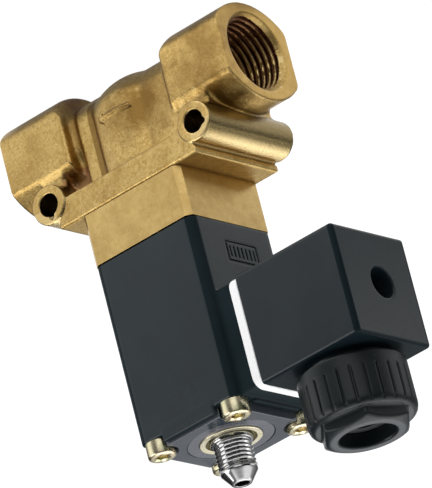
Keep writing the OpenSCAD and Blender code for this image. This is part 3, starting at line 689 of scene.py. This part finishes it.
def body_outside(g, z):
    """Outer form of the forging; z is measured from the port axis."""
    neck, walls = neck_and_walls(g, z)
    web, filled, boss = bosses_and_webs(g, z)
    body = port_blocks(g, z)
    fillets = [
        (neck, 2.0), (web, 1.4), (walls, 1.4), (filled, 1.6),
        (dome(g, z), 0.5), (boss, 0.8), (flange(g, z), 0.3),
    ]
    for shape, fillet in fillets:
        body = join(body, shape, fillet)
    ring_r, ring_half, ring_edge = 5.5, 0.38, 0.2
    ring_x, ring_z = 22.2, 19.0
    ax = np.abs(g.x)
    ring = np.abs(np.hypot(ax - BOSS_X, z + PORT_Z) - ring_r) - ring_half
    return cut(body, meet(ring, np.maximum(ring_x - ax, ring_z - z)), ring_edge)


def flow_arrow(g, z):
    """Raised arrow on the front of the dome, pointing along +X."""
    level, tail, tip, barb_run = 1.8, -5.2, 4.6, 1.7
    line_half, barb_slope, raised_r, front = 0.5, 0.8, 14.8, -5
    shell = meet(np.hypot(g.x, g.y) - raised_r, g.y - front)
    shaft = meet(np.abs(z - level) - line_half, slab(g.x, tail, tip))
    barbs = np.abs(np.abs(z - level) - (tip - g.x) * barb_slope) - line_half
    barbs = meet(barbs, slab(g.x, tip - barb_run, tip + 0.2))
    return meet(shell, join(shaft, barbs), 0.5)


def body_inside(g, z):
    """Ports, passages, cylinder and holes; z is measured from the port axis."""
    ax = np.abs(g.x)
    reach, around = np.hypot(g.y, z), np.hypot(g.x, g.y)
    bore_end, thread_slope = 22.5, 0.75
    mouth_r, mouth_depth = 10.75, 2.0
    seat, seat_r, cylinder_r, chamber_low = 5.0, 7.2, 11.2, 1.5
    throat_r, throat_low = 6.0, -6.5
    passage_end = 23.0
    seal_r, seal_half, seal_depth = 12.9, 1.0, 1.8
    tapped_r, tapped_low, beyond = 2.05, 17.2, 30
    bore = meet((reach - port_thread_radius(g, z)) * thread_slope, bore_end - ax)
    mouth = meet((reach - (mouth_r + ax - HALF_LEN)) * DIAGONAL, HALF_LEN - mouth_depth - ax)
    inside = join(bore, mouth)
    openings = (
        rod(ax - BOSS_X, z + PORT_Z, g.y, HOLE_R, -beyond, beyond),
        meet(around - cylinder_r, seat - z),
        meet(meet(around - cylinder_r, seat_r - around), slab(z, chamber_low, seat + 0.5)),
        meet(around - throat_r, slab(z, throat_low, seat + 0.5)),
        meet(rect(g.y, z - 3.5, 7.0, 4.5, 4.4), slab(g.x, -passage_end, -8.2)),
        meet(rect(g.y, z + 3.0, 5.5, 3.5, 3.4), slab(g.x, 0.0, passage_end)),
        meet(np.abs(around - seal_r) - seal_half, JOINT_Z - PORT_Z - seal_depth - z),
        rod(ax - SCREW_X, np.abs(g.y) - SCREW_Y, z, tapped_r, tapped_low, beyond),
    )
    for opening in openings:
        inside = join(inside, opening)
    return inside


def hole_nicks(g, z):
    """Small burr nicks at the front ends of the two mounting holes."""
    nick_r = 0.8
    places = ((-BOSS_X - 2.6, 1.0), (BOSS_X, 3.2))
    nicks = [np.sqrt((g.x - x) ** 2 + (g.y + BOSS_HALF) ** 2 + (z + PORT_Z - up) ** 2) - nick_r
             for x, up in places]
    return join(*nicks)


def build_body():
    g = Grid(BODY_LOW, BODY_HIGH, 0.3)
    z = g.z - PORT_Z
    shape = join(body_outside(g, z), flow_arrow(g, z), 0.5)
    shape = cut(shape, body_inside(g, z), 0.3)
    shape = cut(shape, hole_nicks(g, z), 0.2)
    return finish_piece(skin("body_casting", g, shape), "valve_body")


# ---- coil and plug ----

LABEL_LOW = (-16.12, -4.6, COIL_LOW.z + 5.1)
LABEL_HIGH = (-15.4, 7.5, COIL_LOW.z + 11.0)


def build_coil_case():
    """Moulded coil case: square block, rims between the screw notches and the plug pad."""
    g = Grid(COIL_LOW, COIL_HIGH, 0.3)
    ax, ay = np.abs(g.x), np.abs(g.y)
    half_x, half_y, corner_r = 16.1, 15.5, 2.6
    rim_half, rim_edge, rim_root = 8.5, 0.4, SEAT_TOP - 2
    pad_half, pad_edge = 13.5, 0.6
    recess_r, recess_depth, tube_r, screw_r = 13.35, 1.7, 5.4, 2.2
    label_gap = 0.2
    case = meet(rect(g.x, g.y, half_x, half_y, corner_r), slab(g.z, COIL_LOW.z, SEAT_TOP), 0.5)
    front = meet(slab(ay, half_y - 1.2, half_y), ax - rim_half, rim_edge)
    front = meet(front, slab(g.z, rim_root, COIL_HIGH.z), rim_edge)
    side = meet(slab(ax, half_x - 1.6, half_x), ay - rim_half, rim_edge)
    side = meet(side, slab(g.z, rim_root, SEAT_TOP + 0.8), rim_edge)
    pad_low = (COIL_LOW.x, -pad_half, PLUG_LOW.z + 0.8)
    pad = block(g, pad_low, (4 - half_x, pad_half, SEAT_TOP - 0.1), pad_edge)
    case = join(join(join(case, pad, 0.5), front, 0.2), side, 0.2)
    around = np.hypot(g.x, g.y)
    case = cut(case, meet(around - recess_r, COIL_LOW.z + recess_depth - g.z), 0.3)
    case = cut(case, around - tube_r)
    case = cut(case, np.hypot(ax - SCREW_X, ay - SCREW_Y) - screw_r, 0.3)
    low, high = [c + label_gap for c in LABEL_LOW], [c - label_gap for c in LABEL_HIGH]
    case = cut(case, block(g, (LABEL_LOW[0] - 1, *low[1:]), high, 0.1))
    return finish_piece(skin("coil_case", g, case), "coil_housing")


def build_label():
    """Plain label panel of the coil case: a frame line round a hatched field, let into the surface."""
    g = Grid(LABEL_LOW, LABEL_HIGH, 0.1)
    depth, line_half, pitch = 0.32, 0.27, 1.5
    frame_margin, field_margin_y, field_margin_z = 0.4, 1.0, 1.1
    middle = [(low + high) / 2 for low, high in zip(LABEL_LOW, LABEL_HIGH)]
    half = [(high - low) / 2 - frame_margin for low, high in zip(LABEL_LOW, LABEL_HIGH)]
    y, z = g.y - middle[1], g.z - middle[2]
    outline = np.abs(rect(y, z, half[1], half[2], 0.2)) - line_half
    bars = np.abs(np.mod(y + pitch / 2, pitch) - pitch / 2) - line_half
    bars = meet(bars, rect(y, z, half[1] - field_margin_y, half[2] - field_margin_z, 0.1), 0.1)
    lines = meet(join(outline, bars), g.x - LABEL_LOW[0] - depth)
    panel = block(g, LABEL_LOW, LABEL_HIGH, 0.05)
    return finish_piece(skin("coil_label", g, cut(panel, lines, 0.08)), "coil_housing")


def build_plug_shell():
    """Plug cover with its screw well and the gland's threaded neck; it is open toward the coil."""
    g = Grid(PLUG_LOW, PLUG_HIGH, 0.3)
    bottom, top = PLUG_LOW.z, PLUG_LOW.z + 29.0
    back, face = PLUG_LOW.x, PLUG_HIGH.x
    half, wall, beyond = PLUG_HIGH.y, 2.0, PLUG_HIGH.x + 6
    screw_y, screw_z = 1.0, bottom + 13.75
    well_r, counterbore_r, screw_r, well_floor = 5.65, 4.05, 1.65, back + 9
    neck_x, neck_r, neck_bore_r = MOUNTS["cable_entry"]["pos_m"][0] / MM, 10.4, 8.3
    shell = block(g, (back, -half, bottom), (beyond, half, top), 1.0)
    hollow_low, hollow_high = (back + wall, wall - half, bottom + wall), (beyond, half - wall, top - wall)
    shell = cut(shell, block(g, hollow_low, hollow_high, 0.6), 0.2)
    sy, sz = g.y - screw_y, g.z - screw_z
    well = rod(sy, sz, g.x, well_r, back + 1, well_floor + 1.6)
    neck = rod(g.x - neck_x, g.y, g.z, neck_r, top - 1, PLUG_HIGH.z, 0.4)
    shell = join(join(shell, well, 0.5), neck, 1.2)
    shell = cut(shell, rod(sy, sz, g.x, counterbore_r, back - 3, well_floor), 0.35)
    shell = cut(shell, rod(sy, sz, g.x, screw_r, back, face))
    shell = cut(shell, rod(g.x - neck_x, g.y, g.z, neck_bore_r, top - wall - 1, PLUG_HIGH.z + 3), 0.3)
    shell = meet(shell, g.x - face)
    return finish_piece(skin("plug_shell", g, shell), "connector_housing")


def build_gland_grip():
    """Gland nut: grooved grip under a hexagon with a bevelled end."""
    g = Grid(NUT_LOW, NUT_HIGH, 0.2)
    x, y = g.x - MOUNTS["cable_entry"]["pos_m"][0] / MM, g.y
    around, angle = np.hypot(x, y), np.arctan2(y, x)
    r = NUT_HIGH.y
    hex_z = NUT_HIGH.z - 3.4
    shoulder = (around - r + (g.z - (hex_z - 1.0)) * 0.9) * 0.74
    grip = meet(meet(around - r, slab(g.z, NUT_LOW.z, hex_z), 0.7), shoulder, 1.0)
    groove_count, groove_half, groove_depth, groove_start = 26, 0.28, 0.42, NUT_LOW.z + 3.4
    groove_turn = 2 * np.pi / groove_count
    nearest = np.round(angle / groove_turn) * groove_turn
    off_centre = np.abs(around * np.sin(angle - nearest))
    groove = meet(off_centre - groove_half, r - groove_depth - around, 0.1)
    grip = cut(grip, meet(groove, groove_start - g.z, 0.3), 0.2)
    flats, first_flat, flat_edge = 20.8 / 2, math.radians(80), 0.5
    turns = [first_flat + math.pi / 3 * k for k in range(3)]
    sides = [np.abs(x * math.cos(turn) + y * math.sin(turn)) - flats for turn in turns]
    six = meet(meet(sides[0], sides[1], flat_edge), sides[2], flat_edge)
    bevel = (around - 9.6 + (g.z - NUT_HIGH.z) * 1.7) * 0.5
    head = meet(meet(six, slab(g.z, hex_z - 1.5, NUT_HIGH.z), flat_edge), bevel, 0.6)
    nut = join(grip, head, 0.4)
    thread_r, thread_top, mouth_r = 10.45, NUT_HIGH.z - 4.3, 7.0
    nut = cut(nut, rod(x, y, g.z, thread_r, NUT_LOW.z - 3, thread_top), 0.3)
    nut = cut(nut, rod(x, y, g.z, mouth_r, NUT_LOW.z, NUT_HIGH.z + 3), 0.8)
    return finish_piece(skin("gland_grip", g, nut), "gland_nut")


# ---- turned metal parts ----

def build_nipple():
    """Exhaust nipple with a rolled 3/8-24 thread and a flare cone."""
    r = MOUNTS["exhaust_nipple"]["dims"]["r_mm"]
    stub, tip = NIPPLE_LOW.z, NIPPLE_HIGH.z
    stub_r, collar_r, foot_r = 2.48, 5.1, 5.4
    bore_r, drilling_r, bore_floor = 1.8, 1.2, SEAT_TOP + 1.3
    foot_top = PLATE_HIGH.z + 1.15
    thread_top = foot_top + 6.4
    cone_z = thread_top + 1.3
    pitch, depth = 25.4 / 24, 0.62
    run_in, run_out = 0.6, 0.5

    def thread(rr, zz, aa):
        phase = np.mod((zz - foot_top) / pitch - aa / (2 * np.pi), 1.0)
        flank = np.abs(2 * phase - 1)
        fade = np.clip((zz - foot_top) / run_in, 0, 1) * np.clip((thread_top - zz) / run_out, 0, 1)
        on_thread = (rr > r - 0.01) & (zz > foot_top) & (zz < thread_top)
        return np.where(on_thread, -depth * fade * flank, 0.0)

    collar_z = SEAT_TOP - 0.7
    outside = [[stub_r, stub], [stub_r, collar_z], [collar_r, collar_z], [collar_r, SEAT_TOP]]
    outside += [[foot_r, SEAT_TOP], [foot_r, foot_top - 0.5], [foot_r - 0.15, foot_top - 0.15]]
    outside += [[foot_r - 0.45, foot_top]]
    outside += line((r, foot_top + 0.01), (r, thread_top - 0.01), 96)
    outside += [[r - 0.55, thread_top + 0.05], [r - 0.55, thread_top + 0.35], [r - 0.15, thread_top + 0.42]]
    outside += [[r - 0.1, thread_top + 0.5], [r - 0.1, cone_z - 0.1], [r - 0.16, cone_z + 0.03]]
    outside += line((r - 0.2, cone_z + 0.1), (2.62, tip - 0.08), 6) + [[2.5, tip]]
    inside = [[bore_r + 0.1, tip], [bore_r, tip - 0.1], [bore_r, bore_floor], [drilling_r, bore_floor]]
    inside += [[drilling_r, stub]]
    return finish_piece(turned("nipple", outside + inside, thread, sides=128), "exhaust_nipple")


def build_screws():
    """Four plated socket-head screws."""
    low, high = span("housing_screws")
    shank_r, head_r, socket, on_axis = 2.0, 3.5, 1.5, 0.02
    foot, top = low.z, high.z
    socket_floor = top - 2.0

    def hexagon(rr, zz, aa):
        off_flat = np.mod(aa + np.pi / 6, np.pi / 3) - np.pi / 6
        return np.where(np.abs(rr - socket) < 0.01, socket / np.cos(off_flat) - socket, 0.0)

    profile = [[on_axis, foot], [shank_r - 0.4, foot], [shank_r, foot + 0.4], [shank_r, SEAT_TOP]]
    profile += [[head_r - 0.1, SEAT_TOP], [head_r, SEAT_TOP + 0.1], [head_r, top - 0.55]]
    profile += [[head_r - 0.12, top - 0.25], [head_r - 0.4, top - 0.05], [head_r - 0.6, top]]
    profile += [[socket + 0.45, top], [socket, top - 0.3], [socket, socket_floor]]
    profile += [[on_axis, socket_floor - 0.4]]
    centres = [(x, y) for x in (-SCREW_X, SCREW_X) for y in (-SCREW_Y, SCREW_Y)]
    return finish_piece(turned("cap_screws", profile, hexagon, centres), "housing_screws")


def spring_rise(turn, turns, wire, length):
    """Height of the wire's centre after so many turns, with one closed turn at each end."""
    closed = 1.1 * wire
    active = (length - wire - 2 * closed) / (turns - 2)
    if turn < 1:
        return closed * turn
    if turn > turns - 1:
        return length - wire - closed * (turns - turn)
    return closed + active * (turn - 1)


def build_spring(name, node, turns, wire):
    """Spring drawn as a swept wire, with a mesh of its own."""
    low, high = span(node)
    r = high.x - wire / 2
    steps, sides = 32, 12
    count = turns * steps
    points, faces = [], []
    for i in range(count + 1):
        a = 2 * math.pi * i / steps
        z = low.z + wire / 2 + spring_rise(i / steps, turns, wire, high.z - low.z)
        for j in range(sides):
            b = 2 * math.pi * j / sides
            reach = r + wire / 2 * math.cos(b)
            points.append((reach * math.cos(a), reach * math.sin(a), z + wire / 2 * math.sin(b)))
    for i in range(count):
        for j in range(sides):
            k = (j + 1) % sides
            faces.append((i * sides + j, (i + 1) * sides + j, (i + 1) * sides + k, i * sides + k))
    faces.append(tuple(range(sides)))
    faces.append(tuple(count * sides + j for j in reversed(range(sides))))
    spring = finish_piece(new_piece(name, points, faces), node)
    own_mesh(spring)
    return spring


# ---- CAD nodes kept as they are, with softened edges ----

# How wide the edges of each CAD node are softened, mm.
EDGE_WIDTHS = {
    "bonnet": 0.25, "end_plate": 0.45, "pole_washer": 0.12, "retaining_ring": 0.2,
    "connector_gasket": 0.3, "connector_screw": 0.2, "screw_washer": 0.15, "cable_grommet": 0.3,
    "gland_ring": 0.2, "main_piston": 0.15, "guide_tube": 0.1, "plunger": 0.15, "fixed_core": 0.15,
    "terminal_block": 0.2, "lower_pole_plate": 0.1, "yoke_sleeve": 0.1, "coil_bobbin": 0.15,
    "terminal_clamps": 0.1,
}


def soften(node, width):
    """Rounds a CAD node's sharp edges with modifiers; the node's own mesh stays as packed."""
    obj = frame["nodes"][node]
    weld = obj.modifiers.new("weld", "WELD")
    weld.merge_threshold = 0.002 * MM
    flat = obj.modifiers.new("flat", "DECIMATE")
    flat.decimate_type = "DISSOLVE"
    flat.angle_limit = math.radians(0.6)
    bevel = obj.modifiers.new("bevel", "BEVEL")
    bevel.width = width * MM
    bevel.segments = 3
    bevel.limit_method = "ANGLE"
    bevel.angle_limit = math.radians(35)
    bevel.harden_normals = True
    obj.modifiers.new("normals", "WEIGHTED_NORMAL")


def dress_cad_nodes():
    """Gives every CAD node its finish, and softened edges where they show."""
    for name, obj in frame["nodes"].items():
        obj.data.materials.clear()
        obj.data.materials.append(MATERIALS[SLOTS[name]])
        if name in EDGE_WIDTHS:
            soften(name, EDGE_WIDTHS[name])


# ---- stage ----

CAMERA_AZIMUTH, CAMERA_ELEVATION, CAMERA_ROLL = -35.605, 22.274, 165.52


def direction(azimuth, elevation):
    """Unit vector toward a direction in degrees; azimuth 0 is the front, -Y, and 90 is +X."""
    a, e = math.radians(azimuth), math.radians(elevation)
    return Vector((math.sin(a) * math.cos(e), -math.cos(a) * math.cos(e), math.sin(e)))


def floor_glow(look):
    """How much light each place of the floor gives off toward the valve, 1 for white."""
    x, y = look.coordinate(0), look.coordinate(1)
    away = look.hypot(x, y)
    a = math.radians(CAMERA_AZIMUTH)
    forward = look.maths("ADD", look.times(x, math.sin(a)), look.times(y, -math.cos(a)))
    sideways = look.maths("ADD", look.times(x, math.cos(a)), look.times(y, math.sin(a)))
    facing = look.maths("DIVIDE", forward, look.maths("ADD", away, 0.001))
    turn = look.maths("ARCTAN2", sideways, forward)
    gap_x = look.maths("SUBTRACT", look.maths("ABSOLUTE", x), HALF_LEN * MM)
    gap_y = look.maths("SUBTRACT", look.maths("ABSOLUTE", y), BODY_HIGH.y * MM)
    near = look.scaled(look.maths("MAXIMUM", gap_x, gap_y), -0.003, 0.005, 0.25, 1.0)
    back_left = look.times(look.scaled(x, -0.125, -0.095, 0.88, 0.0), look.scaled(y, 0.0, 0.04, 0.0, 1.0))
    near = look.times(near, look.inverse(back_left), look.scaled(facing, 0.7, 0.95, 1.0, 1.5))
    at_camera = look.times(look.scaled(away, 0.16, 0.20, 0.0, 1.0), look.scaled(facing, 0.45, 0.7, 0.0, 0.9))
    near = look.times(near, look.inverse(at_camera), look.scaled(away, 0.12, 0.22, 1.0, 0.7))
    stripe_count = 4
    stripes = look.scaled(look.maths("COSINE", look.times(turn, stripe_count)), -0.5, 0.5, 0.03, 1.1)
    far = look.scaled(away, 0.22, 0.27, 0.0, 1.0)
    return look.maths("ADD", look.times(near, look.inverse(far)), look.times(stripes, far))


def build_floor():
    """Plain pale floor under the port blocks.

    Seen straight on it is even and white. What it throws back at the valve is uneven, as in a tented
    studio: dim close under the valve, bright round it, dim toward the camera and striped farther out.
    """
    reach = 6000
    z = BODY_LOW.z
    corners = [(-reach, -reach, z), (reach, -reach, z), (reach, reach, z), (-reach, reach, z)]
    floor = new_piece("floor", corners, [(0, 1, 2, 3)])
    look = Look("floor_white", (0.10, 0.10, 0.10), 0.8, specular=0.1)
    seen = look.add("LightPath", {}).outputs["Is Camera Ray"]
    thrown_back = look.times(look.inverse(seen), floor_glow(look))
    look.set("Emission Color", (1, 1, 1, 1))
    look.set("Emission Strength", look.maths("ADD", seen, thrown_back))
    look.mottle((0.08, 0.08, 0.08), 400, 0.4, 0.7, 0.3)
    floor.data.materials.append(look.done())


def add_panel(name, azimuth, elevation, distance, size, radiance):
    """Rectangular light panel in mm that faces the middle of the valve."""
    back = direction(azimuth, elevation)
    lamp = bpy.data.lights.new(name, "AREA")
    lamp.shape = "RECTANGLE"
    lamp.size, lamp.size_y = size[0] * MM, size[1] * MM
    lamp.energy = radiance * math.pi * lamp.size * lamp.size_y
    obj = bpy.data.objects.new(name, lamp)
    obj.location = (cad_low + cad_high) / 2 + back * distance * MM
    obj.rotation_mode = "QUATERNION"
    obj.rotation_quaternion = (-back).to_track_quat("-Z", "Y")
    bpy.context.scene.collection.objects.link(obj)


# Where the room is dimmed or lifted: azimuth, the cosines at which that starts and is full, and the
# strength there and everywhere else.
ROOM_PATCHES = [
    (CAMERA_AZIMUTH, 0.45, 0.68, 0.15, 1.25),
    (75, 0.35, 0.50, 0.15, 1.0),
    (144, 0.86, 0.93, 1.7, 1.0),
]


def room_strength(tree, place):
    """Strength of the room's light by direction, the product of its patches."""
    strength = None
    for azimuth, start, full, there, elsewhere in ROOM_PATCHES:
        toward = tree.nodes.new("ShaderNodeVectorMath")
        toward.operation = "DOT_PRODUCT"
        toward.inputs[1].default_value = direction(azimuth, 0)
        tree.links.new(place, toward.inputs[0])
        change = tree.nodes.new("ShaderNodeMapRange")
        for number, value in enumerate((start, full, elsewhere, there), start=1):
            change.inputs[number].default_value = value
        tree.links.new(toward.outputs["Value"], change.inputs[0])
        product = tree.nodes.new("ShaderNodeMath")
        product.operation = "MULTIPLY"
        product.inputs[0].default_value = 1.0
        if strength is not None:
            tree.links.new(strength, product.inputs[0])
        tree.links.new(change.outputs[0], product.inputs[1])
        strength = product.outputs[0]
    return strength


def build_room():
    """Grey room round the valve: dim low down and round the camera, white overhead."""
    world = bpy.data.worlds.new("studio")
    bpy.context.scene.world = world
    world.use_nodes = True
    tree = world.node_tree
    place = tree.nodes.new("ShaderNodeTexCoord").outputs["Generated"]
    height = tree.nodes.new("ShaderNodeSeparateXYZ")
    tree.links.new(place, height.inputs[0])
    ramp = tree.nodes.new("ShaderNodeValToRGB")
    low, high = ramp.color_ramp.elements
    low.position, low.color = 0.12, (0.10, 0.10, 0.105, 1)
    high.position, high.color = 0.55, (1.0, 1.0, 1.0, 1)
    middle = ramp.color_ramp.elements.new(0.42)
    middle.color = (0.30, 0.30, 0.31, 1)
    tree.links.new(height.outputs[2], ramp.inputs[0])
    background = tree.nodes["Background"]
    tree.links.new(ramp.outputs[0], background.inputs["Color"])
    tree.links.new(room_strength(tree, place), background.inputs["Strength"])


def build_light():
    """Soft studio light: a panel overhead, one behind and one that draws bright lines along upper edges."""
    add_panel("top_panel", 150, 75, 700, (500, 400), 2.0)
    add_panel("back_panel", 180, 48, 900, (900, 200), 1.25)
    add_panel("edge_panel", 42, 22, 900, (600, 560), 3.0)
    build_room()


def build_camera():
    """Camera above the plug side, rolled so that the coil hangs down."""
    distance, aim = 1969.6, Vector((-6.93, 4.51, 21.59))
    back = direction(CAMERA_AZIMUTH, CAMERA_ELEVATION)
    data = bpy.data.cameras.new("camera")
    data.sensor_width = 36
    data.lens = 596.7
    data.clip_start, data.clip_end = 0.05, 50
    camera = bpy.data.objects.new("camera", data)
    camera.rotation_mode = "QUATERNION"
    upright = (-back).to_track_quat("-Z", "Y").to_matrix()
    turn = Matrix.Rotation(math.radians(CAMERA_ROLL), 3, "Z")
    camera.rotation_quaternion = (upright @ turn).to_quaternion()
    camera.location = (aim + back * distance) * MM
    bpy.context.scene.collection.objects.link(camera)
    bpy.context.scene.camera = camera


dress_cad_nodes()
build_body()
build_coil_case()
build_label()
build_plug_shell()
build_gland_grip()
build_nipple()
build_screws()
build_spring("piston_spring", "main_spring", 7, 0.9)
build_spring("pilot_spring", "plunger_spring", 9, 0.5)
build_floor()
build_light()
build_camera()
bpy.context.scene.view_settings.view_transform = "Standard"
